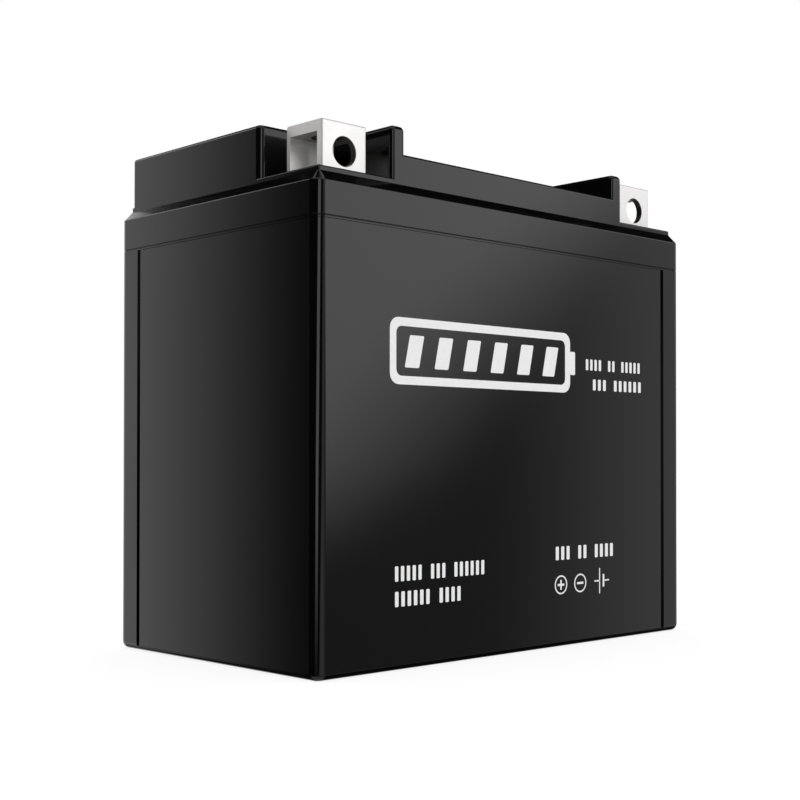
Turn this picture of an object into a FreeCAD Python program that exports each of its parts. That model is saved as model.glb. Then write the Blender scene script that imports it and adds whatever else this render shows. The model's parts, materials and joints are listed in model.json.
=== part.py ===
import FreeCAD, Part
import math
import os

# Sealed six-cell lead-acid motorcycle battery, millimetres.
# +X runs along the long side, from the negative to the positive terminal. The terminals stand at the -Y side.
# The origin is the middle of the underside.

vec = FreeCAD.Vector

# ---- driving dimensions -------------------------------------------------------------------------------------
length = 114.0          # along X
width = 69.0            # along Y
top_z = 108.3           # top of the lid's raised block
over = 1.0              # how far a cutting tool runs past the face that it opens
bite = 0.5              # how far a joined part runs into its neighbour
corner_r = 2.25         # vertical corners of case and lid
bottom_r = 1.6          # rounding round the underside

# container
wall = 2.2
floor_t = 3.0
cells = 6
partition_t = 1.4
cell_r = 1.0            # upright inner corners of a cell
ledge_z = 87.77         # outer ledge of the rim
tongue_t = 1.4          # inner part of the rim, which enters the lid
tongue_z = 89.3
joint_gap = 0.05        # left between ledge and lid, at the bottom of the joint line
joint_t = 0.12          # depth of the V-shaped joint line, and size of the bevels on each side of it
joint_play = 0.05

# label recess, round the -X -Y corner
recess_depth = 0.45
recess_x = 50.3         # end of the recess on the front face
recess_y = 27.4         # end of the recess on the -X face
recess_low_z = 1.05
recess_high_z = 87.35
label_gap = 1.1         # open groove beside the label's two upright edges
label_gap_z = 0.1       # and at its top and bottom
label_sink = 0.05       # label face below the case face

# lid
skirt_z = 94.5          # top of the upright skirt
shoulder_z = 96.5       # top of the sloped shoulder
ledge_top_z = 97.55     # flat ledge that carries the terminals
shoulder_in = 1.82      # how far the shoulder steps in
shoulder_edge_r = 0.45  # round between skirt and shoulder
ledge_t = 2.95
ledge_edge_r = 0.35
block_front_y = -14.3   # raised block, full height
block_rear_y = 32.6
block_r = 1.25
block_edge_r = 0.8
rib_x = 34.65           # the two ribs in front of the block
rib_t = 3.6
rib_edge_r = 0.9
rib_top_r = 1.0
saddle_z = 102.7        # step between the ribs
saddle_edge_r = 0.5
roof_z = 102.6          # underside of the block's roof

# filler ports and their sealing strip
port_y = 3.5
port_d = 9.0
port_tube_d = 12.0
port_low_z = 96.0
strip_floor_z = 105.0
strip_slot_w = 14.6
strip_t = 2.4
strip_head_d = 12.6
strip_bar_w = 8.0
strip_dimple_d = 8.0
strip_dimple_t = 0.6
strip_edge_r = 0.4
pry_w = 10.0            # widening of the slot for a blade, at its rear
pry_t = 1.6
plug_play = 0.05
plug_len = 6.0
plug_tip_r = 0.8

# vent well, behind the strip
well_y = 21.8
well_d = 18.0
well_low_z = 94.2
valve_floor_z = 98.0
valve_bore_d = 11.4
disc_floor_z = 104.1
disc_bore_d = 13.0
disc_play = 0.2
valve_lift = 0.6        # gap under the valve's skirt
valve_d = 9.6
valve_top_t = 1.4
valve_edge_r = 0.6
cover_floor_z = 105.9
cover_bore_d = 16.4
cover_sink = 0.2        # top of the cover below the block's top
cover_edge_r = 0.3
cover_dish_d = 10.4
cover_dish_t = 0.5
cover_slot_w = 2.4
cover_slot_in = 5.9
cover_slot_out = 7.2
cover_slots = 6
nozzle_d = 6.4
nozzle_bore = 2.4
nozzle_z = 101.5
link_d = 2.2            # gas link through the lid's inner walls
link_z = 96.0

# terminals
term_x = 45.8
term_w = 11.2
term_front_y = -29.2
term_depth = 11.0
term_top_z = 107.55
term_base_z = 96.05
term_front_t = 1.6
term_back_t = 1.0
term_roof_t = 2.2
term_slot_low_z = 98.4
term_hole_d = 6.05
term_hole_z = 101.85
term_edge_r = 0.25
term_back_r = 0.5
stem_d = 9.6
stem_low_z = 86.0
stem_bore = 6.6
stem_bore_z = 94.5
stem_play = 0.1
boss_d = 15.0
boss_low_z = 88.6
ring_d = 1.75           # section of the rubber ring round the stem
ring_seat_d = 13.4
epoxy_w = 1.7
epoxy_top_z = 97.3

# engraved minus and plus, behind the terminals
mark_bar = 5.0
mark_line = 1.3
mark_t = 0.4
mark_back = 5.2         # from the block's front

# cells
positive_t = 1.7
negative_t = 1.3
mat_t = 1.0
plates = 3              # positive plates in a cell, with one negative more
plate_w = 60.0
plate_low_z = 4.0
plate_top_z = 71.0
mat_w = 62.0
mat_top_z = 72.5
lug_w = 10.0
strap_w = 12.0
strap_low_z = 74.0
strap_top_z = 78.0
strap_rear_y = 22.0
tomb_t = 2.6            # upright end of a strap, against a partition
tomb_top_z = 84.0
tomb_gap = 0.6          # between a strap and the walls that it doesn't touch
weld_d = 5.4
weld_play = 0.05
weld_z = 81.0
post_d = 6.4
post_top_z = 94.3

# ---- worked out ---------------------------------------------------------------------------------------------
half_x = length / 2
half_y = width / 2
lid_low_z = ledge_z + joint_gap
ledge_x = half_x - shoulder_in
ledge_y = half_y - shoulder_in
term_y = term_front_y + term_depth / 2
cell_w = (length - 2 * wall - (cells - 1) * partition_t) / cells
cell_pitch = cell_w + partition_t
cell_x = [(i - (cells - 1) / 2) * cell_pitch for i in range(cells)]
strap_y = {"front": term_y, "rear": strap_rear_y}


# ---- helpers ------------------------------------------------------------------------------------------------
def box(x0, x1, y0, y1, z0, z1):
    return Part.makeBox(x1 - x0, y1 - y0, z1 - z0, vec(x0, y0, z0))


def rod(x, y, z0, z1, d):
    return Part.makeCylinder(d / 2, z1 - z0, vec(x, y, z0))


def rod_x(x0, x1, y, z, d):
    return Part.makeCylinder(d / 2, x1 - x0, vec(x0, y, z), vec(1, 0, 0))


def round_wire(x0, x1, y0, y1, z, r):
    """Closed outline: a rectangle with quarter-circle corners."""
    edges = []
    corners = [(x1 - r, y0 + r, -90), (x1 - r, y1 - r, 0), (x0 + r, y1 - r, 90), (x0 + r, y0 + r, 180)]
    for n, (cx, cy, a) in enumerate(corners):
        at = [vec(cx + r * math.cos(math.radians(a + t)), cy + r * math.sin(math.radians(a + t)), z)
              for t in (0, 45, 90)]
        edges.append(Part.Arc(at[0], at[1], at[2]).toShape())
        nx, ny, na = corners[(n + 1) % 4]
        nxt = vec(nx + r * math.cos(math.radians(na)), ny + r * math.sin(math.radians(na)), z)
        edges.append(Part.LineSegment(at[2], nxt).toShape())
    return Part.Wire(edges)


def round_prism(x0, x1, y0, y1, z0, z1, r):
    return Part.Face(round_wire(x0, x1, y0, y1, z0, r)).extrude(vec(0, 0, z1 - z0))


def case_prism(inset, z0, z1):
    """The case's outline, moved in by inset, from z0 to z1."""
    return round_prism(-half_x + inset, half_x - inset, -half_y + inset, half_y - inset, z0, z1,
                       corner_r - inset)


def picked(solid, pick):
    """Every edge whose two ends and middle satisfy pick(point)."""
    def on(edge):
        mid = edge.valueAt((edge.FirstParameter + edge.LastParameter) / 2)
        return all(pick(p) for p in [mid] + [v.Point for v in edge.Vertexes])
    return [e for e in solid.Edges if on(e)]


def round_edges(solid, r, pick):
    return solid.makeFillet(r, picked(solid, pick))


def bevel_edges(solid, size, pick):
    return solid.makeChamfer(size, picked(solid, pick))


def at(value, target):
    return abs(value - target) < 0.01


def cut_all(solid, tools):
    return solid.cut(Part.makeCompound(tools))


def divide(shape, zones):
    """One moulding or casting as plain solids that meet face to face, so that its notches stay open in collision."""
    return Part.makeCompound([solid for zone in zones for solid in shape.common(zone).Solids])


def save(name, shape):
    solids = shape.Solids
    good = shape.isValid() and all(s.Volume > 0 for s in solids)
    print(name, "solids", len(solids), "volume %.1f" % shape.Volume, "" if good else "NOT VALID")
    out = solids[0] if len(solids) == 1 else Part.makeCompound(solids)
    out.exportStep("parts/" + name + ".step")


# ---- container ----------------------------------------------------------------------------------------------
def label_zone(gap, gap_z):
    """Block of space that the recess (gap 0) or the label fills round the -X -Y corner."""
    return box(-half_x - over, recess_x - gap, -half_y - over, recess_y - gap, recess_low_z + gap_z,
               recess_high_z - gap_z)


def weld_side(n):
    """Welds 1, 3 and 5 lie at the rear, welds 2 and 4 at the front."""
    return "rear" if n % 2 == 0 else "front"


def container():
    body = case_prism(0, 0, ledge_z)
    body = round_edges(body, bottom_r, lambda p: at(p.z, 0))
    body = bevel_edges(body, joint_t, lambda p: at(p.z, ledge_z))
    land = case_prism(joint_t, ledge_z - bite, lid_low_z)
    body = body.fuse([land, case_prism(wall - tongue_t, ledge_z - bite, tongue_z)]).removeSplitter()
    skin = label_zone(0, 0).cut(case_prism(recess_depth, 0, ledge_z))
    tools = [skin]
    for x in cell_x:
        tools.append(round_prism(x - cell_w / 2, x + cell_w / 2, -half_y + wall, half_y - wall,
                                 floor_t, tongue_z + over, cell_r))
    for n in range(cells - 1):
        x = cell_x[n] + cell_w / 2
        tools.append(rod_x(x - over, x + partition_t + over, strap_y[weld_side(n)], weld_z,
                           weld_d + 2 * weld_play))
    return cut_all(body, tools)


def wrap_label():
    band = case_prism(label_sink, recess_low_z, recess_high_z)
    band = band.cut(case_prism(recess_depth, recess_low_z - over, recess_high_z + over))
    return band.common(label_zone(label_gap, label_gap_z))


# ---- lid ----------------------------------------------------------------------------------------------------
def lid_base():
    """Skirt, sloped shoulder and flat ledge."""
    skirt = bevel_edges(case_prism(0, lid_low_z, skirt_z), joint_t, lambda p: at(p.z, lid_low_z))
    low = round_wire(-half_x, half_x, -half_y, half_y, skirt_z, corner_r)
    high = round_wire(-ledge_x, ledge_x, -ledge_y, ledge_y, shoulder_z, corner_r - shoulder_in)
    shoulder = Part.makeLoft([low, high], True, True)
    ledge = case_prism(shoulder_in, shoulder_z, ledge_top_z)
    ledge = round_edges(ledge, ledge_edge_r, lambda p: at(p.z, ledge_top_z))
    base = skirt.fuse([shoulder, ledge]).removeSplitter()
    return round_edges(base, shoulder_edge_r, lambda p: at(p.z, skirt_z))


def lid_block():
    """Full-height block at the rear, two ribs and the saddle between them."""
    low_z = ledge_top_z - bite
    end_y = block_front_y + block_edge_r + bite
    block = round_prism(-ledge_x, ledge_x, block_front_y, block_rear_y, low_z, top_z, block_r)
    block = round_edges(block, block_edge_r, lambda p: at(p.z, top_z))
    saddle = box(-rib_x, rib_x, -ledge_y, end_y, low_z, saddle_z)
    saddle = round_edges(saddle, saddle_edge_r, lambda p: at(p.z, saddle_z) and at(p.y, -ledge_y))
    parts = [saddle]
    for side in (-1, 1):
        x0 = side * rib_x - rib_t / 2
        x1 = side * rib_x + rib_t / 2
        rib = box(x0, x1, -ledge_y, end_y, low_z, top_z)
        rib = round_edges(rib, rib_edge_r, lambda p: at(p.y, -ledge_y) and (at(p.x, x0) or at(p.x, x1)))
        rib = round_edges(rib, rib_top_r, lambda p: at(p.z, top_z) and p.y < block_front_y and
                          (at(p.x, x0) or at(p.x, x1) or p.y < -ledge_y + 1))
        parts.append(rib)
    return block.fuse(parts)


def polarity_marks():
    """Engraved minus and plus, on the block's top behind the terminals."""
    y = block_front_y + mark_back
    low = top_z - mark_t
    marks = [box(x - mark_bar / 2, x + mark_bar / 2, y - mark_line / 2, y + mark_line / 2, low, top_z + over)
             for x in (-term_x, term_x)]
    marks.append(box(term_x - mark_line / 2, term_x + mark_line / 2, y - mark_bar / 2, y + mark_bar / 2,
                     low, top_z + over))
    return marks


def lid_hollows():
    """Rebate for the rim, and the space over each cell under the ledge and inside the block."""
    roofs = [(-half_y, half_y, ledge_top_z - ledge_t), (block_front_y, block_rear_y, roof_z)]
    hollows = [case_prism(wall - tongue_t - joint_play, lid_low_z - over, tongue_z)]
    for x in cell_x:
        for y0, y1, z in roofs:
            hollows.append(round_prism(x - cell_w / 2, x + cell_w / 2, y0 + wall, y1 - wall,
                                       tongue_z - over, z, cell_r))
    return hollows


def lid_columns():
    """Filler tubes, the vent well and the two bosses round the terminal stems."""
    columns = [rod(x, port_y, port_low_z, roof_z + bite, port_tube_d) for x in cell_x]
    columns.append(rod(0, well_y, well_low_z, roof_z + bite, well_d))
    for x in (-term_x, term_x):
        columns.append(rod(x, term_y, boss_low_z, ledge_top_z - ledge_t + bite, boss_d))
    return columns


def port_tools():
    """Slot for the strip, its widening for a blade, and the six ports."""
    half = strip_slot_w / 2
    tools = [round_prism(-cell_x[-1] - half, cell_x[-1] + half, port_y - half, port_y + half,
                         strip_floor_z, top_z + over, half - 0.01)]
    tools.append(box(-pry_w / 2, pry_w / 2, port_y, port_y + half + pry_t, strip_floor_z, top_z + over))
    return tools + [rod(x, port_y, port_low_z - over, top_z, port_d) for x in cell_x]


def vent_tools():
    """Steps of the vent well, the space round its nozzle, and the gas link through the inner walls."""
    tools = [rod(0, well_y, cover_floor_z, top_z + over, cover_bore_d)]
    tools.append(rod(0, well_y, disc_floor_z, top_z, disc_bore_d))
    tools.append(rod(0, well_y, valve_floor_z, top_z, valve_bore_d).cut(
        rod(0, well_y, valve_floor_z, nozzle_z, nozzle_d)))
    tools.append(rod(0, well_y, link_z, top_z, nozzle_bore))
    return tools + [rod_x(cell_x[0], cell_x[-1], well_y, link_z, link_d)]


def terminal_tools(x):
    """Pocket for the epoxy, seat for the rubber ring, and bore for the stem."""
    half = term_w / 2 + epoxy_w
    pocket = box(x - half, x + half, term_front_y - epoxy_w, term_front_y + term_depth + epoxy_w,
                 term_base_z, ledge_top_z + over)
    seat = rod(x, term_y, term_base_z - ring_d, term_base_z + bite, ring_seat_d)
    return [pocket, seat, rod(x, term_y, boss_low_z - over, term_base_z, stem_d + 2 * stem_play)]


def lid_zones():
    """Rear, front below the ledge's top, and above it the two ribs and the saddle between them."""
    inner = rib_x - rib_t / 2
    outer = half_x + over
    front = -half_y - over
    high = top_z + over
    zones = [box(-outer, outer, block_front_y, half_y + over, 0, high)]
    zones.append(box(-outer, outer, front, block_front_y, 0, ledge_top_z))
    for x0, x1 in ((-outer, -inner), (-inner, inner), (inner, outer)):
        zones.append(box(x0, x1, front, block_front_y, ledge_top_z, high))
    return zones


def lid():
    body = lid_base().fuse(lid_block()).removeSplitter()
    body = cut_all(body, lid_hollows())
    body = body.fuse(lid_columns()).removeSplitter()
    tools = port_tools() + vent_tools() + polarity_marks()
    for x in (-term_x, term_x):
        tools += terminal_tools(x)
    return divide(cut_all(body, tools), lid_zones())


# ---- filler strip, valve and vent ---------------------------------------------------------------------------
def sealing_cap_strip():
    top = strip_floor_z + strip_t
    low = strip_floor_z - plug_len
    bar = box(cell_x[0], cell_x[-1], port_y - strip_bar_w / 2, port_y + strip_bar_w / 2, strip_floor_z, top)
    heads = [rod(x, port_y, strip_floor_z, top, strip_head_d) for x in cell_x]
    plugs = []
    for x in cell_x:
        plug = rod(x, port_y, low, strip_floor_z, port_d - 2 * plug_play)
        plugs.append(round_edges(plug, plug_tip_r, lambda p: at(p.z, low)))
    body = bar.fuse(heads).removeSplitter()
    body = round_edges(body, strip_edge_r, lambda p: at(p.z, top))
    dimples = [rod(x, port_y, top - strip_dimple_t, top + over, strip_dimple_d) for x in cell_x]
    return cut_all(body.fuse(plugs), dimples).removeSplitter()


def relief_valve_cap():
    top = nozzle_z + valve_top_t
    cap = rod(0, well_y, valve_floor_z + valve_lift, top, valve_d)
    cap = round_edges(cap, valve_edge_r, lambda p: at(p.z, top))
    return cap.cut(rod(0, well_y, valve_floor_z, nozzle_z, nozzle_d + 2 * joint_play))


def flame_arrestor_disc():
    return rod(0, well_y, disc_floor_z, cover_floor_z, disc_bore_d - 2 * disc_play)


def vent_cover():
    top = top_z - cover_sink
    cover = rod(0, well_y, cover_floor_z, top, cover_bore_d - 2 * disc_play)
    cover = round_edges(cover, cover_edge_r, lambda p: at(p.z, top))
    tools = [rod(0, well_y, top - cover_dish_t, top + over, cover_dish_d)]
    for n in range(cover_slots):
        slot = box(cover_slot_in, cover_slot_out, -cover_slot_w / 2, cover_slot_w / 2,
                   cover_floor_z - over, top + over)
        slot.rotate(vec(0, 0, 0), vec(0, 0, 1), (n + 0.5) * 360 / cover_slots)
        slot.translate(vec(0, well_y, 0))
        tools.append(slot)
    return cut_all(cover, tools)


# ---- terminals and their seals ------------------------------------------------------------------------------
def terminal_zones(x):
    """Foot with the stem, front wall, back wall and roof."""
    x0 = x - term_w
    x1 = x + term_w
    front = term_front_y - over
    wall_y = term_front_y + term_front_t
    back_y = term_front_y + term_depth - term_back_t
    end = term_front_y + term_depth + over
    high = term_top_z + over
    return [box(x0, x1, front, end, stem_low_z - over, term_slot_low_z),
            box(x0, x1, front, wall_y, term_slot_low_z, high),
            box(x0, x1, back_y, end, term_slot_low_z, high),
            box(x0, x1, wall_y, back_y, term_slot_low_z, high)]


def terminal(x):
    """Square head with a nut slot along X, one front hole and one top hole, on a round hollow stem."""
    x0 = x - term_w / 2
    x1 = x + term_w / 2
    back = term_front_y + term_depth
    roof_low = term_top_z - term_roof_t
    head = box(x0, x1, term_front_y, back, term_base_z, term_top_z)
    head = round_edges(head, term_back_r, lambda p: at(p.z, term_top_z) and at(p.y, back))
    head = round_edges(head, term_edge_r, lambda p: at(p.y, term_front_y) and p.z > term_base_z + 0.1
                       or at(p.y, term_front_y) and (at(p.x, x0) or at(p.x, x1)))
    stem = rod(x, term_y, stem_low_z, term_base_z + bite, stem_d)
    tools = [box(x0 - over, x1 + over, term_front_y + term_front_t, back - term_back_t,
                 term_slot_low_z, roof_low)]
    tools.append(Part.makeCylinder(term_hole_d / 2, term_depth / 2, vec(x, term_front_y - over, term_hole_z),
                                   vec(0, 1, 0)))
    tools.append(rod(x, term_y, roof_low - over, term_top_z + over, term_hole_d))
    tools.append(rod(x, term_y, stem_low_z - over, stem_bore_z, stem_bore))
    return divide(cut_all(head.fuse(stem), tools), terminal_zones(x))


def post_seal(x):
    mean = (stem_d + ring_seat_d) / 2
    return Part.makeTorus(mean / 2, ring_d / 2, vec(x, term_y, term_base_z - ring_d / 2))


def epoxy_seal(x):
    x0 = x - term_w / 2
    x1 = x + term_w / 2
    y0 = term_front_y
    y1 = term_front_y + term_depth
    outer = box(x0 - epoxy_w, x1 + epoxy_w, y0 - epoxy_w, y1 + epoxy_w, term_base_z, epoxy_top_z)
    return outer.cut(box(x0, x1, y0, y1, term_base_z, epoxy_top_z))


# ---- cells --------------------------------------------------------------------------------------------------
def positive_side(i):
    """Cells 1, 3 and 5 have their positive strap at the rear, the others at the front."""
    return "rear" if i % 2 == 0 else "front"


def other(side):
    return "front" if side == "rear" else "rear"


def stack(x):
    """Lower X of each negative plate and each positive plate, the stack centred on x."""
    step = negative_t + positive_t + 2 * mat_t
    low = x - (plates * step + negative_t) / 2
    negatives = [low + n * step for n in range(plates + 1)]
    positives = [low + n * step + negative_t + mat_t for n in range(plates)]
    return negatives, positives


def plate(x0, t, side):
    y = strap_y[side]
    body = box(x0, x0 + t, -plate_w / 2, plate_w / 2, plate_low_z, plate_top_z)
    lug = box(x0, x0 + t, y - lug_w / 2, y + lug_w / 2, plate_top_z - bite, strap_low_z)
    return body.fuse(lug).removeSplitter()


def folded_mat(x0):
    """A mat folded under one positive plate that starts at x0."""
    outer = box(x0 - mat_t, x0 + positive_t + mat_t, -mat_w / 2, mat_w / 2, plate_low_z - mat_t, mat_top_z)
    return outer.cut(box(x0, x0 + positive_t, -mat_w / 2 - over, mat_w / 2 + over, plate_low_z,
                         mat_top_z + over))


def strap(i, side, polarity):
    """Bar over the lugs, with an upright against the partition to the next cell or a post."""
    x = cell_x[i]
    y = strap_y[side]
    positive = polarity == "positive"
    last = i == (cells - 1 if positive else 0)
    x0 = x - cell_w / 2 + (tomb_gap if positive or last else 0)
    x1 = x + cell_w / 2 - (tomb_gap if last or not positive else 0)
    low_z = strap_top_z - bite
    body = box(x0, x1, y - strap_w / 2, y + strap_w / 2, strap_low_z, strap_top_z)
    if last:
        riser = rod(term_x if positive else -term_x, term_y, low_z, post_top_z, post_d)
    elif positive:
        riser = box(x1 - tomb_t, x1, y - strap_w / 2, y + strap_w / 2, low_z, tomb_top_z)
    else:
        riser = box(x0, x0 + tomb_t, y - strap_w / 2, y + strap_w / 2, low_z, tomb_top_z)
    return body.fuse(riser).removeSplitter()


def save_cell(i):
    name = "cell_%d_" % (i + 1)
    plus = positive_side(i)
    minus = other(plus)
    negatives, positives = stack(cell_x[i])
    save(name + "negative_plates", Part.makeCompound([plate(x, negative_t, minus) for x in negatives]))
    save(name + "positive_plates", Part.makeCompound([plate(x, positive_t, plus) for x in positives]))
    save(name + "separators", Part.makeCompound([folded_mat(x) for x in positives]))
    save(name + "positive_strap", strap(i, plus, "positive"))
    save(name + "negative_strap", strap(i, minus, "negative"))


def intercell_weld(n):
    x = cell_x[n] + cell_w / 2
    return rod_x(x, x + partition_t, strap_y[weld_side(n)], weld_z, weld_d)


# ---- write every piece --------------------------------------------------------------------------------------
os.makedirs("parts", exist_ok=True)
save("container", container())
save("wrap_label", wrap_label())
save("lid", lid())
save("sealing_cap_strip", sealing_cap_strip())
save("relief_valve_cap", relief_valve_cap())
save("flame_arrestor_disc", flame_arrestor_disc())
save("vent_cover", vent_cover())
for sign, pole in ((-1, "negative"), (1, "positive")):
    save(pole + "_terminal", terminal(sign * term_x))
    save(pole + "_post_seal", post_seal(sign * term_x))
    save(pole + "_epoxy_seal", epoxy_seal(sign * term_x))
for number in range(cells):
    save_cell(number)
for number in range(cells - 1):
    save("intercell_weld_%d" % (number + 1), intercell_weld(number))
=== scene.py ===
import json
import math
import bpy
import numpy as np
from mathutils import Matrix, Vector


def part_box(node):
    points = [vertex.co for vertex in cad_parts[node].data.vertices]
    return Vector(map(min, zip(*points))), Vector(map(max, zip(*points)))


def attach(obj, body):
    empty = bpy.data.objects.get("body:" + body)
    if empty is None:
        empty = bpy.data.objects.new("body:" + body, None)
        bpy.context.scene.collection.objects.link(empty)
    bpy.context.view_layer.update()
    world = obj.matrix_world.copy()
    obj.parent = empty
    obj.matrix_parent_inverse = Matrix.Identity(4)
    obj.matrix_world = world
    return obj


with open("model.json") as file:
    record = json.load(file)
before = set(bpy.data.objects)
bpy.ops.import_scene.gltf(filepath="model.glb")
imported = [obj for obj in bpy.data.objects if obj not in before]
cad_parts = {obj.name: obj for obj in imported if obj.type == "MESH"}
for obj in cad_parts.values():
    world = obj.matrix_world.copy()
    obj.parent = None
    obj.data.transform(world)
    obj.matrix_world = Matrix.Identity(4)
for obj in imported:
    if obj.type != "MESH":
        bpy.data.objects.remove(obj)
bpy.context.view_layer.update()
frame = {"nodes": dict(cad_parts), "record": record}
mm = 0.001
print("battery frame loaded")


class Wire:
    # one output of a shader node; an expression on wires and numbers adds its Math nodes
    def __init__(self, finish, socket):
        self.finish = finish
        self.socket = socket

    def __add__(self, other):
        return self.finish.calc("ADD", self, other)

    def __sub__(self, other):
        return self.finish.calc("SUBTRACT", self, other)

    def __rsub__(self, other):
        return self.finish.calc("SUBTRACT", other, self)

    def __mul__(self, other):
        return self.finish.calc("MULTIPLY", self, other)

    def __truediv__(self, other):
        return self.finish.calc("DIVIDE", self, other)

    def __rtruediv__(self, other):
        return self.finish.calc("DIVIDE", other, self)

    def __gt__(self, other):
        return self.finish.calc("GREATER_THAN", self, other)

    def __lt__(self, other):
        return self.finish.calc("LESS_THAN", self, other)

    def clamped(self):
        return self.finish.calc("MAXIMUM", self.finish.calc("MINIMUM", self, 1.0), 0.0)

    def rise(self, low, high):
        # 0 at low, 1 at high, straight between; low may be the larger
        return ((self - low) / (high - low)).clamped()

    __radd__ = __add__
    __rmul__ = __mul__


class Finish:
    # a node tree being wired up, with one method for every kind of node
    def __init__(self, tree):
        self.tree = tree
        tree.nodes.clear()

    def node(self, kind, settings=None, sockets=None, output=0):
        made = self.tree.nodes.new(kind)
        for name, value in (settings or {}).items():
            if name == "stops":
                self.setStops(made.color_ramp, value)
            else:
                setattr(made, name, value)
        for name, value in (sockets or {}).items():
            if isinstance(value, Wire):
                self.tree.links.new(value.socket, made.inputs[name])
            else:
                made.inputs[name].default_value = value
        return Wire(self, made.outputs[output]) if made.outputs else made

    def setStops(self, ramp, stops):
        while len(ramp.elements) < len(stops):
            ramp.elements.new(1.0)
        for element, (place, colour) in zip(ramp.elements, stops):
            element.position = place
            element.color = colour

    def calc(self, operation, first, second=0.0):
        return self.node("ShaderNodeMath", {"operation": operation}, {0: first, 1: second})

    def axes(self, vector):
        split = self.node("ShaderNodeSeparateXYZ", None, {0: vector})
        outputs = split.socket.node.outputs
        return [Wire(self, outputs[n]) for n in range(3)]

    def blend(self, amount, low, high):
        # colour between low and high
        return self.node("ShaderNodeMix", {"data_type": "RGBA"}, {0: amount, 6: low, 7: high}, 2)

    def place(self):
        return self.node("ShaderNodeTexCoord", None, None, "Object")

    def noise(self, size, detail=2.0, stretch=(1.0, 1.0, 1.0), roughness=0.5):
        # soft noise whose blotches are about size metres wide, longer along an axis with a small stretch
        at = self.node("ShaderNodeMapping", None, {"Vector": self.place(), "Scale": stretch})
        sockets = {"Vector": at, "Scale": 1 / size, "Detail": detail, "Roughness": roughness}
        return self.node("ShaderNodeTexNoise", None, sockets)

    def bump(self, height, depth):
        return self.node("ShaderNodeBump", None, {"Height": height, "Distance": depth})

    def surface(self, **sockets):
        names = {"colour": "Base Color", "roughness": "Roughness", "metallic": "Metallic", "normal": "Normal",
                 "ior": "IOR"}
        shader = self.node("ShaderNodeBsdfPrincipled", None, {names[k]: v for k, v in sockets.items()})
        self.node("ShaderNodeOutputMaterial", None, {"Surface": shader})


def grey(level, warmth=0.0):
    return (level * (1 + warmth), level, level * (1 - warmth), 1.0)


def newFinish(name):
    made = bpy.data.materials.new(name)
    made.use_nodes = True
    return made, Finish(made.node_tree)


cameraSetup = {
    "bearing": 43.062,      # degrees from -Y toward -X, where the camera stands
    "distance": 0.32259,
    "height": 0.0419,
    "turn": 44.927,         # degrees that it looks away from +Y toward +X
    "tilt": 0.746,
    "lens": 62.16,
    "shift": (-0.0732, 0.0502),
    "nearest": 0.01,
}


def addCamera(setup):
    lens = bpy.data.cameras.new("camera")
    lens.lens = setup["lens"]
    lens.shift_x, lens.shift_y = setup["shift"]
    lens.clip_start = setup["nearest"]
    camera = bpy.data.objects.new("camera", lens)
    bearing = math.radians(setup["bearing"])
    camera.location = (-setup["distance"] * math.sin(bearing), -setup["distance"] * math.cos(bearing),
                       setup["height"])
    camera.rotation_euler = (math.radians(90 + setup["tilt"]), 0.0, -math.radians(setup["turn"]))
    bpy.context.scene.collection.objects.link(camera)
    bpy.context.scene.camera = camera


# Sides are degrees from -Y toward +X and heights are degrees above the horizon.
# Rise, Fade, Top, Foot and End are ramps: nothing at the first number, full at the second.
studioLight = {
    "backdrop": 1.0,
    "dome": 0.9,             # even light on everything that is matt
    "room": 0.015,           # dim walls, for whatever is glossy
    "mainLight": 1.6,        # tall soft box off the front
    "mainRise": (30.0, 37.0),
    "mainEdge": (41.8, 0.75, 0.025, 0.65),  # its far side leans: side, per degree up, squared, more below
    "mainSoft": 9.0,
    "mainTop": (32.0, 24.0),
    "mainEnd": (85.0, 70.0),
    "midLight": 0.58,        # paler panel between the main box and the left strip
    "midRise": (-9.0, 2.0),
    "midFade": (33.0, 10.0),
    "midLean": (0.9, 1.6),   # per degree up, more below the horizon
    "midTail": 0.28,         # share of it that stays behind the main box
    "midEnd": (80.0, 60.0),
    "boxTop": (39.0, 33.0),  # top of the panel and of the left strip
    "fillLight": 0.63,       # wide fill to the right of the main box
    "fillRise": (44.8, 53.3),
    "fillEnd": (100.0, 80.0),
    "fillTop": (26.0, 16.0),
    "stripLight": 1.5,       # upright strip on the left
    "stripSide": (-50.5, 1.8, 1.0),   # side, per degree up, per degree down
    "stripHalf": 12.5,
    "stripSoft": 1.5,
    "stripFoot": (-8.9, -1.8),
    "farLight": 0.5,         # low soft box on the far side
    "farSide": (100.0, 170.0),
    "farSoft": 5.0,
    "farTop": (-9.0, -15.0),
    "rearLight": 1.02,       # soft box behind, degrees off +Y
    "rearFade": (39.0, 31.5),
    "rearPower": 1.45,
    "rearHigh": 3.0,         # its bright upper edge
    "rearHighRise": (24.0, 30.0),
    "rearTop": (32.5, 31.0),
    "boxFoot": (-34.0, -24.0),  # foot of every box above
    "topLight": 0.8,         # overhead, with a hole in it just behind the middle
    "topRise": (57.0, 62.0),
    "topHole": ((74.0, 66.0), (0.08, -0.08)),   # across height, across Y
    "ringRise": (38.0, 42.0),   # and lower down, except toward +X and +Y
    "ringFade": (0.84, 0.78),   # cosine of the angle to +X or +Y, seen from above
    "lowLight": 0.5,         # pale floor, seen in the sides from above
    "lowRise": (-57.0, -62.0),
    "lowRingRise": (-28.0, -36.0),   # nearer, except toward +X and +Y
}


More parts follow.
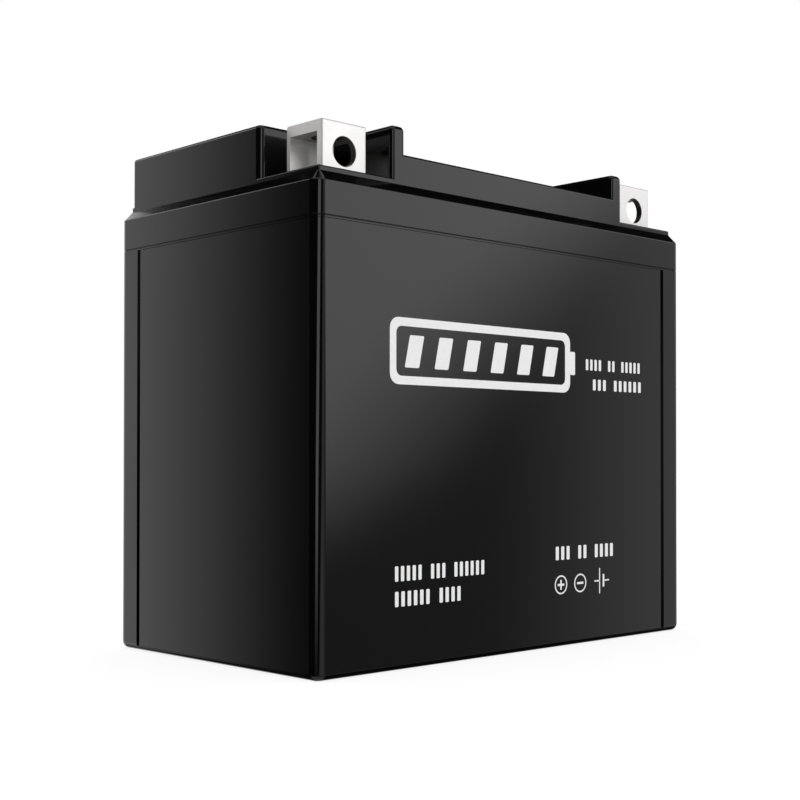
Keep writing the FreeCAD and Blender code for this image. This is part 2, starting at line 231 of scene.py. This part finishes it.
def addStudio(light):
    # Light from each direction: every soft box is a product of ramps across side and height, the largest wins.
    world = bpy.data.worlds.new("studio")
    world.use_nodes = True
    world.cycles.sampling_method = "NONE"
    bpy.context.scene.world = world
    sky = Finish(world.node_tree)
    x, y, z = sky.axes(sky.node("ShaderNodeTexCoord", None, None, "Generated"))
    degree = math.degrees(1)
    side = sky.calc("ARCTAN2", x, 0 - y) * degree
    behind = sky.calc("ABSOLUTE", sky.calc("ARCTAN2", x, y)) * degree
    height = sky.calc("ARCSINE", z) * degree
    above = sky.calc("MAXIMUM", height, 0.0)
    below = sky.calc("MINIMUM", height, 0.0)
    under = height.rise(*light["boxTop"])

    level, lean, bend, drop = light["mainEdge"]
    edge = level + height * lean + height * height * bend + below * drop
    main = (side + height).rise(*light["mainRise"]) * ((edge - side) / light["mainSoft"] + 0.5).clamped()
    main = main * light["mainLight"] * height.rise(*light["mainTop"]) * side.rise(*light["mainEnd"])

    lean, drop = light["midLean"]
    tail = light["midTail"]
    mid = (side - height * lean - below * drop).rise(*light["midRise"]) * side.rise(*light["midEnd"])
    mid = mid * (tail + (1 - tail) * side.rise(*light["midFade"])) * light["midLight"] * under

    fill = side.rise(*light["fillRise"]) * side.rise(*light["fillEnd"])
    fill = fill * light["fillLight"] * height.rise(*light["fillTop"])

    level, lean, drop = light["stripSide"]
    half, soft = light["stripHalf"], light["stripSoft"]
    offCentre = sky.calc("ABSOLUTE", side - level - above * lean - below * drop)
    strip = offCentre.rise(half + soft, half - soft) * height.rise(*light["stripFoot"])
    strip = strip * light["stripLight"] * under

    start, end = light["farSide"]
    soft = light["farSoft"]
    far = side.rise(start - soft, start + soft) * side.rise(end + soft, end - soft)
    far = far * height.rise(*light["farTop"]) * light["farLight"]

    rear = sky.calc("POWER", behind.rise(*light["rearFade"]), light["rearPower"])
    bright = height.rise(*light["rearHighRise"]) * (light["rearHigh"] - light["rearLight"])
    rear = rear * (light["rearLight"] + bright) * height.rise(*light["rearTop"])

    glow = main
    for box in (mid, fill, strip, far, rear):
        glow = sky.calc("MAXIMUM", glow, box)

    away = (sky.calc("MAXIMUM", x, y) / sky.calc("SQRT", x * x + y * y)).rise(*light["ringFade"])
    low, back = light["topHole"]
    top = sky.calc("MAXIMUM", height.rise(*light["topRise"]), height.rise(*light["ringRise"]) * away)
    top = top * sky.calc("MAXIMUM", height.rise(*low), y.rise(*back)) * light["topLight"]
    glow = sky.calc("MAXIMUM", glow * height.rise(*light["boxFoot"]), top)
    floorGlow = sky.calc("MAXIMUM", height.rise(*light["lowRise"]), height.rise(*light["lowRingRise"]) * away)
    glow = sky.calc("MAXIMUM", glow, floorGlow * light["lowLight"])
    glow = sky.calc("MAXIMUM", glow, light["room"])

    # the camera sees the backdrop, matt skins the dome, and only glossy ones the boxes
    path = sky.node("ShaderNodeLightPath")
    seen, matt = [Wire(sky, path.socket.node.outputs[name]) for name in ("Is Camera Ray", "Is Diffuse Ray")]
    level = seen * light["backdrop"] + matt * light["dome"] + (1 - seen) * (1 - matt) * glow
    lit = sky.node("ShaderNodeBackground", None, {"Color": (1, 1, 1, 1), "Strength": level})
    sky.node("ShaderNodeOutputWorld", None, {"Surface": lit})


floorSize = {"reach": 4.0, "glow": 0.8, "paint": 0.3, "mottle": 0.12, "spread": 0.03}


def addFloor(size):
    reach = size["reach"]
    corners = [(-reach, -reach, 0), (reach, -reach, 0), (reach, reach, 0), (-reach, reach, 0)]
    mesh = bpy.data.meshes.new("floor")
    mesh.from_pydata(corners, [], [(0, 1, 2, 3)])
    made, pale = newFinish("floorPaint")
    mottle = pale.noise(size["mottle"], detail=3.0)
    paint, spread = size["paint"], size["spread"]
    paint = pale.blend(mottle, grey(paint * (1 - spread)), grey(paint * (1 + spread)))
    matte = pale.node("ShaderNodeBsdfDiffuse", None, {"Color": paint})
    glow = pale.node("ShaderNodeEmission", None, {"Strength": size["glow"]})
    both = pale.node("ShaderNodeAddShader", None, {0: matte, 1: glow})
    pale.node("ShaderNodeOutputMaterial", None, {"Surface": both})
    mesh.materials.append(made)
    floor = bpy.data.objects.new("floor", mesh)
    floor.visible_glossy = False    # so the black sides mirror the dim room, not the floor
    bpy.context.scene.collection.objects.link(floor)


bpy.context.scene.view_settings.view_transform = "Standard"
addCamera(cameraSetup)
addStudio(studioLight)
addFloor(floorSize)
print("camera, studio light and floor set")


def blackPlastic(name, look):
    # moulded black plastic: faint blotches in the black, fine moulding grain, and rubbed patches that shine more
    made, skin = newFinish(name)
    blotch = skin.noise(look["blotch"], detail=3.0)
    grain = skin.noise(look["grain"])
    rub = skin.noise(look["rub"], 4.0, (1.0, 1.0, look["rubStretch"]), look["rubBreak"])
    colour = skin.blend(blotch, grey(look["dark"]), grey(look["light"]))
    rough = look["rough"] + (rub - 0.5) * look["roughSpread"] + (grain - 0.5) * look["grainSpread"]
    normal = skin.bump(grain, look["grainDepth"])
    skin.surface(colour=colour, roughness=rough, normal=normal, ior=look["ior"])
    return made


casePlastic = {"dark": 0.0006, "light": 0.0013, "blotch": 0.03, "rough": 0.1, "roughSpread": 0.03,
               "rub": 0.02, "rubStretch": 0.45, "rubBreak": 0.6, "grain": 0.0003, "grainDepth": 0.0000008,
               "grainSpread": 0.03, "ior": 1.5}
lidPlastic = dict(casePlastic, rub=0.016)
labelFilm = dict(casePlastic, grain=0.00022, grainDepth=0.0000006, blotch=0.05)
stripPlastic = dict(casePlastic, dark=0.008, light=0.013, rough=0.34, grainDepth=0.000006)
ventPlastic = dict(stripPlastic, rough=0.38)


def mountAt(name):
    # place and radius of a bore that the record states
    found = [mount for mount in frame["record"]["mounts"] if mount["name"] == name][0]
    return found["pos_m"], found["dims"]["r_mm"] * mm


def terminalMetal(look):
    # Tinned casting: light grey, faint rub lines and duller spots, with painted shade: the walls inside the two holes
    # and the underside of the nut slot's roof are coloured dark to stand for the shade there. Both terminals are
    # alike, so x is taken without sign.
    made, skin = newFinish("terminalMetal")
    lines = skin.noise(look["lines"], stretch=(1.0, 1.0, look["lineStretch"]))
    pits = skin.noise(look["pits"], detail=3.0)
    dull = skin.noise(look["dull"], detail=3.0)
    plated = skin.blend(dull, grey(look["light"], look["lightWarmth"]), grey(look["dark"], look["darkWarmth"]))
    (frontX, frontY, frontZ), radius = mountAt("positive_front_hole")
    (_, topY, topZ), _ = mountAt("positive_top_hole")
    low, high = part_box("positive_terminal")
    roof = 2 * topZ - high.z    # a hole's place is the middle of the wall that it goes through
    inside = 2 * frontY - low.y
    x, y, z = skin.axes(skin.place())
    offX = skin.calc("ABSOLUTE", x) - frontX
    reach = radius + look["skin"]
    offZ = z - frontZ
    offY = y - topY
    # masks for the painted shade: the walls of both holes and the underside of the slot's roof
    paintedShadeInFrontHole = skin.calc("SQRT", offX * offX + offZ * offZ) < reach
    paintedShadeInFrontHole = paintedShadeInFrontHole * (y > low.y + look["rim"]) * (y < inside)
    paintedShadeInTopHole = skin.calc("SQRT", offX * offX + offY * offY) < reach
    paintedShadeInTopHole = paintedShadeInTopHole * (z < high.z - look["rim"]) * (z > roof)
    paintedShadeUnderSlotRoof = (skin.calc("ABSOLUTE", z - roof) < look["skin"]) * (y > low.y + look["rim"])
    paintedShadeUnderSlotRoof = paintedShadeUnderSlotRoof * (skin.calc("ABSOLUTE", offX) < (high.x - low.x) / 2 - look["rim"])
    # painted shade: these masks darken the colour inside both holes and under the slot roof, standing in for the
    # shade there
    tarnishAndPaintedShade = (paintedShadeInFrontHole + paintedShadeInTopHole + paintedShadeUnderSlotRoof * look["slotPaintedShadeShare"]).clamped()
    colour = skin.blend(tarnishAndPaintedShade, plated, grey(look["tarnishAndPaintedShade"], look["paintedShadeWarmth"]))
    rough = look["rough"] + (lines - 0.5) * look["roughSpread"] + (dull - 0.5) * look["roughSpread"]
    normal = skin.bump(lines * 0.5 + pits * 0.5, look["depth"])
    skin.surface(colour=colour, roughness=rough, normal=normal, metallic=look["metal"])
    return made


# the terminal's dark level, its warmth and the slot's share set the painted shade inside the holes and under the slot
# roof
tinned = {"light": 0.89, "lightWarmth": 0.01, "dark": 0.84, "darkWarmth": 0.015, "lines": 0.0004,
          "lineStretch": 0.04, "pits": 0.0006, "dull": 0.004, "rough": 0.34, "roughSpread": 0.06, "metal": 0.72,
          "depth": 0.0000015, "tarnishAndPaintedShade": 0.05, "paintedShadeWarmth": 0.02, "slotPaintedShadeShare": 0.7, "rim": 0.15 * mm,
          "skin": 0.03 * mm}


def rubberFinish(look):
    # black rubber with a faint grey bloom that is duller than the rest
    made, skin = newFinish("valveRubber")
    bloom = skin.noise(look["bloom"], detail=3.0)
    colour = skin.blend(bloom, grey(look["dark"]), grey(look["light"]))
    rough = look["rough"] + (bloom - 0.5) * look["roughSpread"]
    skin.surface(colour=colour, roughness=rough, normal=skin.bump(skin.noise(look["grain"]), look["depth"]))
    return made


rubber = {"dark": 0.012, "light": 0.022, "bloom": 0.003, "rough": 0.6, "roughSpread": 0.1, "grain": 0.0002,
          "depth": 0.000008}


def porousFinish(look):
    # sintered beads: round cells with dark gaps between them
    made, skin = newFinish("porousDisc")
    beads = skin.node("ShaderNodeTexVoronoi", None, {"Vector": skin.place(), "Scale": 1 / look["bead"]})
    colour = skin.blend(beads, grey(look["light"], look["warmth"]), grey(look["dark"], look["warmth"]))
    skin.surface(colour=colour, roughness=look["rough"], normal=skin.bump(1 - beads, look["depth"]))
    return made


porous = {"light": 0.75, "dark": 0.35, "warmth": 0.02, "bead": 0.0004, "rough": 0.8, "depth": 0.00012}


def pottingFinish(look):
    # black resin that set with a slight ripple
    made, skin = newFinish("potting")
    ripple = skin.noise(look["ripple"], detail=1.5)
    colour = skin.blend(ripple, grey(look["dark"]), grey(look["light"]))
    rough = look["rough"] + ripple * look["roughSpread"]
    skin.surface(colour=colour, roughness=rough, normal=skin.bump(ripple, look["depth"]))
    return made


potting = {"dark": 0.006, "light": 0.012, "ripple": 0.002, "rough": 0.08, "roughSpread": 0.06, "depth": 0.00008}


def leadFinish(name, look):
    # cast or pasted lead: blotchy tarnish over a grainy skin
    made, skin = newFinish(name)
    tarnishAndPaintedShade = skin.noise(look["tarnishAndPaintedShade"], detail=4.0)
    grain = skin.noise(look["grain"], detail=3.0)
    colour = skin.blend(tarnishAndPaintedShade, look["clean"], look["stained"])
    rough = look["rough"] + (tarnishAndPaintedShade - 0.5) * look["roughSpread"]
    skin.surface(colour=colour, roughness=rough, metallic=look["metal"], normal=skin.bump(grain, look["depth"]))
    return made


castLead = {"clean": (0.42, 0.43, 0.46, 1), "stained": (0.24, 0.25, 0.27, 1), "tarnishAndPaintedShade": 0.004, "grain": 0.0005,
            "rough": 0.5, "roughSpread": 0.2, "metal": 0.85, "depth": 0.00003}
negativePaste = {"clean": (0.40, 0.41, 0.43, 1), "stained": (0.28, 0.29, 0.30, 1), "tarnishAndPaintedShade": 0.006,
                 "grain": 0.0006, "rough": 0.75, "roughSpread": 0.2, "metal": 0.3, "depth": 0.00008}
positivePaste = dict(negativePaste, clean=(0.13, 0.065, 0.040, 1), stained=(0.07, 0.035, 0.024, 1), rough=0.85,
                     metal=0.0)


def matFinish(look):
    # glass fibre mat: fine crossing fibres
    made, skin = newFinish("glassMat")
    along = skin.noise(look["fibre"], stretch=(1.0, look["stretch"], 1.0))
    across = skin.noise(look["fibre"], stretch=(1.0, 1.0, look["stretch"]))
    fibres = along * 0.5 + across * 0.5
    colour = skin.blend(fibres, grey(look["dark"]), grey(look["light"]))
    skin.surface(colour=colour, roughness=look["rough"], normal=skin.bump(fibres, look["depth"]))
    return made


fibreMat = {"fibre": 0.0004, "stretch": 0.06, "dark": 0.7, "light": 0.9, "rough": 0.9, "depth": 0.00006}


def inkFinish(look):
    # white screen ink, a little thinner in spots
    made, skin = newFinish("printInk")
    thin = skin.noise(look["spots"], detail=3.0)
    colour = skin.blend(thin, grey(look["light"]), grey(look["thin"]))
    rough = look["rough"] + thin * look["roughSpread"]
    skin.surface(colour=colour, roughness=rough, normal=skin.bump(skin.noise(look["grain"]), look["depth"]))
    return made


ink = {"light": 0.88, "thin": 0.78, "spots": 0.0012, "rough": 0.4, "roughSpread": 0.15, "grain": 0.0002,
       "depth": 0.000002}

finishes = {
    "case_plastic": blackPlastic("casePlastic", casePlastic),
    "lid_plastic": blackPlastic("lidPlastic", lidPlastic),
    "label_film": blackPlastic("labelFilm", labelFilm),
    "strip_plastic": blackPlastic("stripPlastic", stripPlastic),
    "vent_plastic": blackPlastic("ventPlastic", ventPlastic),
    "terminal_metal": terminalMetal(tinned),
    "valve_rubber": rubberFinish(rubber),
    "porous_disc": porousFinish(porous),
    "potting": pottingFinish(potting),
    "lead": leadFinish("castLead", castLead),
    "negative_plate": leadFinish("negativePaste", negativePaste),
    "positive_plate": leadFinish("positivePaste", positivePaste),
    "glass_mat": matFinish(fibreMat),
}
printInk = inkFinish(ink)

for part in frame["record"]["subparts"]:
    for holder in frame["nodes"][part["node"]].material_slots:
        holder.material = finishes[part["material_slot"]]
print("finishes made:", len(finishes) + 1)


def addPiece(name, points, faces, material, body="battery"):
    mesh = bpy.data.meshes.new(name)
    mesh.from_pydata(points, [], faces)
    mesh.materials.append(material)
    piece = bpy.data.objects.new(name, mesh)
    bpy.context.scene.collection.objects.link(piece)
    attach(piece, body)
    return piece


def ringFaces(rows, columns, closeRows):
    # quads between neighbouring rows of a grid whose columns close on themselves
    row = np.arange(rows if closeRows else rows - 1)[:, None]
    column = np.arange(columns)[None, :]
    nextRow = (row + 1) % rows
    nextColumn = (column + 1) % columns
    quads = [row * columns + column, nextRow * columns + column, nextRow * columns + nextColumn,
             row * columns + nextColumn]
    return np.stack(quads, axis=-1).reshape(-1, 4).tolist()


def roundedOutline(width, height, corner, lean=0.0, steps=5):
    # Points round a rectangle whose corners are quarter circles; lean slides each point sideways by its height.
    turn = np.linspace(0, math.pi / 2, steps)[None, :] + (np.arange(4) * math.pi / 2)[:, None]
    side = np.array([(1, 1), (-1, 1), (-1, -1), (1, -1)])
    x = side[:, :1] * (width / 2 - corner) + corner * np.cos(turn)
    z = side[:, 1:] * (height / 2 - corner) + corner * np.sin(turn)
    return np.stack([x + lean * z, z], axis=-1).reshape(-1, 2)


inkLayer = {"thickness": 0.045 * mm, "sunk": 0.02 * mm, "edge": 0.03 * mm}
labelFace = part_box("wrap_label")[0].y


def onLabel(flat, depth):
    # flat (x, z) points as (x, y, z) points at a height over the label's face
    return np.insert(flat, 1, labelFace - depth, axis=-1)


def inkSlab(outline, centre):
    # A filled mark: rings of the outline, from its middle on top, out over a small edge, and down into the film.
    top = inkLayer["thickness"]
    low = -inkLayer["sunk"]
    reach = 1 - inkLayer["edge"] / np.abs(outline).max()
    rings = [(reach, top), (1.0, top - inkLayer["edge"] / 2), (1.0, low)]
    points = np.concatenate([onLabel(outline * grow + centre, depth) for grow, depth in rings])
    count = len(outline)
    ends = np.concatenate([onLabel(np.array([centre]), top), onLabel(np.array([centre]), low)])
    faces = ringFaces(len(rings), count, False)
    around = np.arange(count)
    onward = (around + 1) % count
    last = (len(rings) - 1) * count
    faces += np.stack([np.full(count, len(points)), around, onward], axis=-1).tolist()
    faces += np.stack([np.full(count, len(points) + 1), onward + last, around + last], axis=-1).tolist()
    return np.concatenate([points, ends]), faces


def inkStroke(outer, inner, centre):
    # A closed line: a flat profile carried round between the outer and the inner outline.
    top = inkLayer["thickness"]
    low = -inkLayer["sunk"]
    rings = [(outer, low), (outer, top), (inner, top), (inner, low)]
    points = np.concatenate([onLabel(outline + centre, depth) for outline, depth in rings])
    return points, ringFaces(len(rings), len(outer), True)


def joinMarks(marks):
    # points and faces of several marks as one set, each mark's corners counted on from the last
    points = []
    faces = []
    total = 0
    for markPoints, markFaces in marks:
        points.append(markPoints)
        faces += [[corner + total for corner in face] for face in markFaces]
        total += len(markPoints)
    return np.concatenate(points).tolist(), faces


def addPrint(name, marks):
    points, faces = joinMarks(marks)
    addPiece(name, points, faces, printInk)


pictogram = {"left": -38.6 * mm, "right": 17.4 * mm, "low": 56.5 * mm, "high": 69.8 * mm, "nub": 1.7 * mm,
             "nubHeight": 5.2 * mm, "nubStep": 0.02 * mm, "line": 1.7 * mm, "corner": 2.2 * mm, "cells": 6,
             "barWidth": 3.9 * mm, "barGap": 1.7 * mm, "barCorner": 0.3 * mm, "lean": 0.22}


def addPictogram(spec):
    # A battery outline with a nub at its right end and one slanted bar for each cell.
    width = spec["right"] - spec["left"] - spec["nub"]
    height = spec["high"] - spec["low"]
    centre = np.array([spec["left"] + width / 2, spec["low"] + height / 2])
    line = spec["line"]
    outer = roundedOutline(width, height, spec["corner"])
    inner = roundedOutline(width - 2 * line, height - 2 * line, spec["corner"] - line / 2)
    marks = [inkStroke(outer, inner, centre)]
    nub = roundedOutline(spec["nub"], spec["nubHeight"], spec["barCorner"])
    marks.append(inkSlab(nub, (spec["right"] - spec["nub"] / 2 + spec["nubStep"], centre[1])))
    barHeight = height - 2 * line - 2 * spec["barGap"]
    bar = roundedOutline(spec["barWidth"], barHeight, spec["barCorner"], spec["lean"])
    pitch = (width - 2 * line - spec["barGap"]) / spec["cells"]
    for n in range(spec["cells"]):
        marks.append(inkSlab(bar, (centre[0] + (n - (spec["cells"] - 1) / 2) * pitch, centre[1])))
    addPrint("print_pictogram", marks)


# Rows of plain blocks stand where a maker would print words. Sizes are in millimetres.
blockRows = {
    "print_row_right_1": {"left": 21.2, "right": 41.1, "middle": 63.1, "height": 2.5, "blocks": (4, 2, 5)},
    "print_row_right_2": {"left": 23.7, "right": 41.5, "middle": 58.6, "height": 2.5, "blocks": (3, 6)},
    "print_row_low_1": {"left": -37.2, "right": -11.9, "middle": 19.1, "height": 3.0, "blocks": (5, 3, 6)},
    "print_row_low_2": {"left": -37.2, "right": -18.9, "middle": 14.1, "height": 3.0, "blocks": (6, 4)},
    "print_row_rating": {"left": 10.8, "right": 30.9, "middle": 20.8, "height": 3.0, "blocks": (3, 2, 4)},
}


blockStyle = {"space": 1.2, "bar": 0.55, "first": 0.28, "last": 0.4, "corner": 0.2}   # in steps, but the corner in mm


def addBlockRow(name, row, style):
    # Groups of bars, one bar and one gap to a step, with a space left open between groups.
    steps = sum(row["blocks"]) + style["space"] * (len(row["blocks"]) - 1)
    step = (row["right"] - row["left"]) / (steps - style["last"])
    outline = roundedOutline(style["bar"] * step * mm, row["height"] * mm, style["corner"] * mm)
    marks = []
    place = row["left"] + style["first"] * step
    for count in row["blocks"]:
        for n in range(count):
            marks.append(inkSlab(outline, ((place + n * step) * mm, row["middle"] * mm)))
        place += (count + style["space"]) * step
    addPrint(name, marks)


poleSigns = {"radius": 2.1 * mm, "line": 0.32 * mm, "plus": (12.55 * mm, 13.8 * mm),
             "minus": (19.15 * mm, 13.8 * mm), "reach": 1.1 * mm, "half": 0.24 * mm, "corner": 0.05 * mm}
cellSign = {"x": 26.7 * mm, "z": 13.9 * mm, "line": 0.32 * mm, "tall": 2.9 * mm, "thickness": 1.8,
            "corner": 0.1 * mm, "apart": 0.7 * mm, "lead": 1.9 * mm, "leftLead": 1.6 * mm, "rightLead": 1.8 * mm}


def circleOutline(radius, steps=40):
    # points at radius times the cosine and sine of an even turn
    turn = np.arange(steps) * 2 * math.pi / steps
    return np.stack([radius * np.cos(turn), radius * np.sin(turn)], axis=-1)


def plusOutline(reach, half):
    # The twelve corners of a plus, anticlockwise: three of one arm, then each arm a quarter turn on.
    arms = [np.array([(half, half), (half, reach), (-half, reach)])]
    quarterTurn = np.array([[0, -1], [1, 0]])
    for _ in range(3):
        arms.append(arms[-1] @ quarterTurn.T)
    return np.concatenate(arms)


def addPoleSigns(spec):
    # a plus and a minus, each in a ring
    plus = plusOutline(spec["reach"], spec["half"])
    minus = roundedOutline(spec["reach"] * 2, spec["half"] * 2, spec["corner"])
    outer = circleOutline(spec["radius"])
    inner = circleOutline(spec["radius"] - spec["line"])
    for name, centre, sign in (("print_sign_plus", spec["plus"], plus), ("print_sign_minus", spec["minus"], minus)):
        addPrint(name, [inkStroke(outer, inner, centre), inkSlab(sign, centre)])


def addCellSign(spec):
    # the usual drawing of a cell: a tall thin plate, a short thick one, and a lead to each
    x, z = spec["x"], spec["z"]
    thin = roundedOutline(spec["line"], spec["tall"] * 2, spec["corner"])
    thick = roundedOutline(spec["line"] * spec["thickness"], spec["tall"], spec["corner"])
    lead = roundedOutline(spec["lead"], spec["line"], spec["corner"])
    marks = [inkSlab(thin, (x - spec["apart"], z)), inkSlab(thick, (x + spec["apart"], z))]
    marks += [inkSlab(lead, (x - spec["leftLead"], z)), inkSlab(lead, (x + spec["rightLead"], z))]
    addPrint("print_sign_cell", marks)


addPictogram(pictogram)
for rowName, rowSpec in blockRows.items():
    addBlockRow(rowName, rowSpec, blockStyle)
addPoleSigns(poleSigns)
addCellSign(cellSign)
print("label printed")
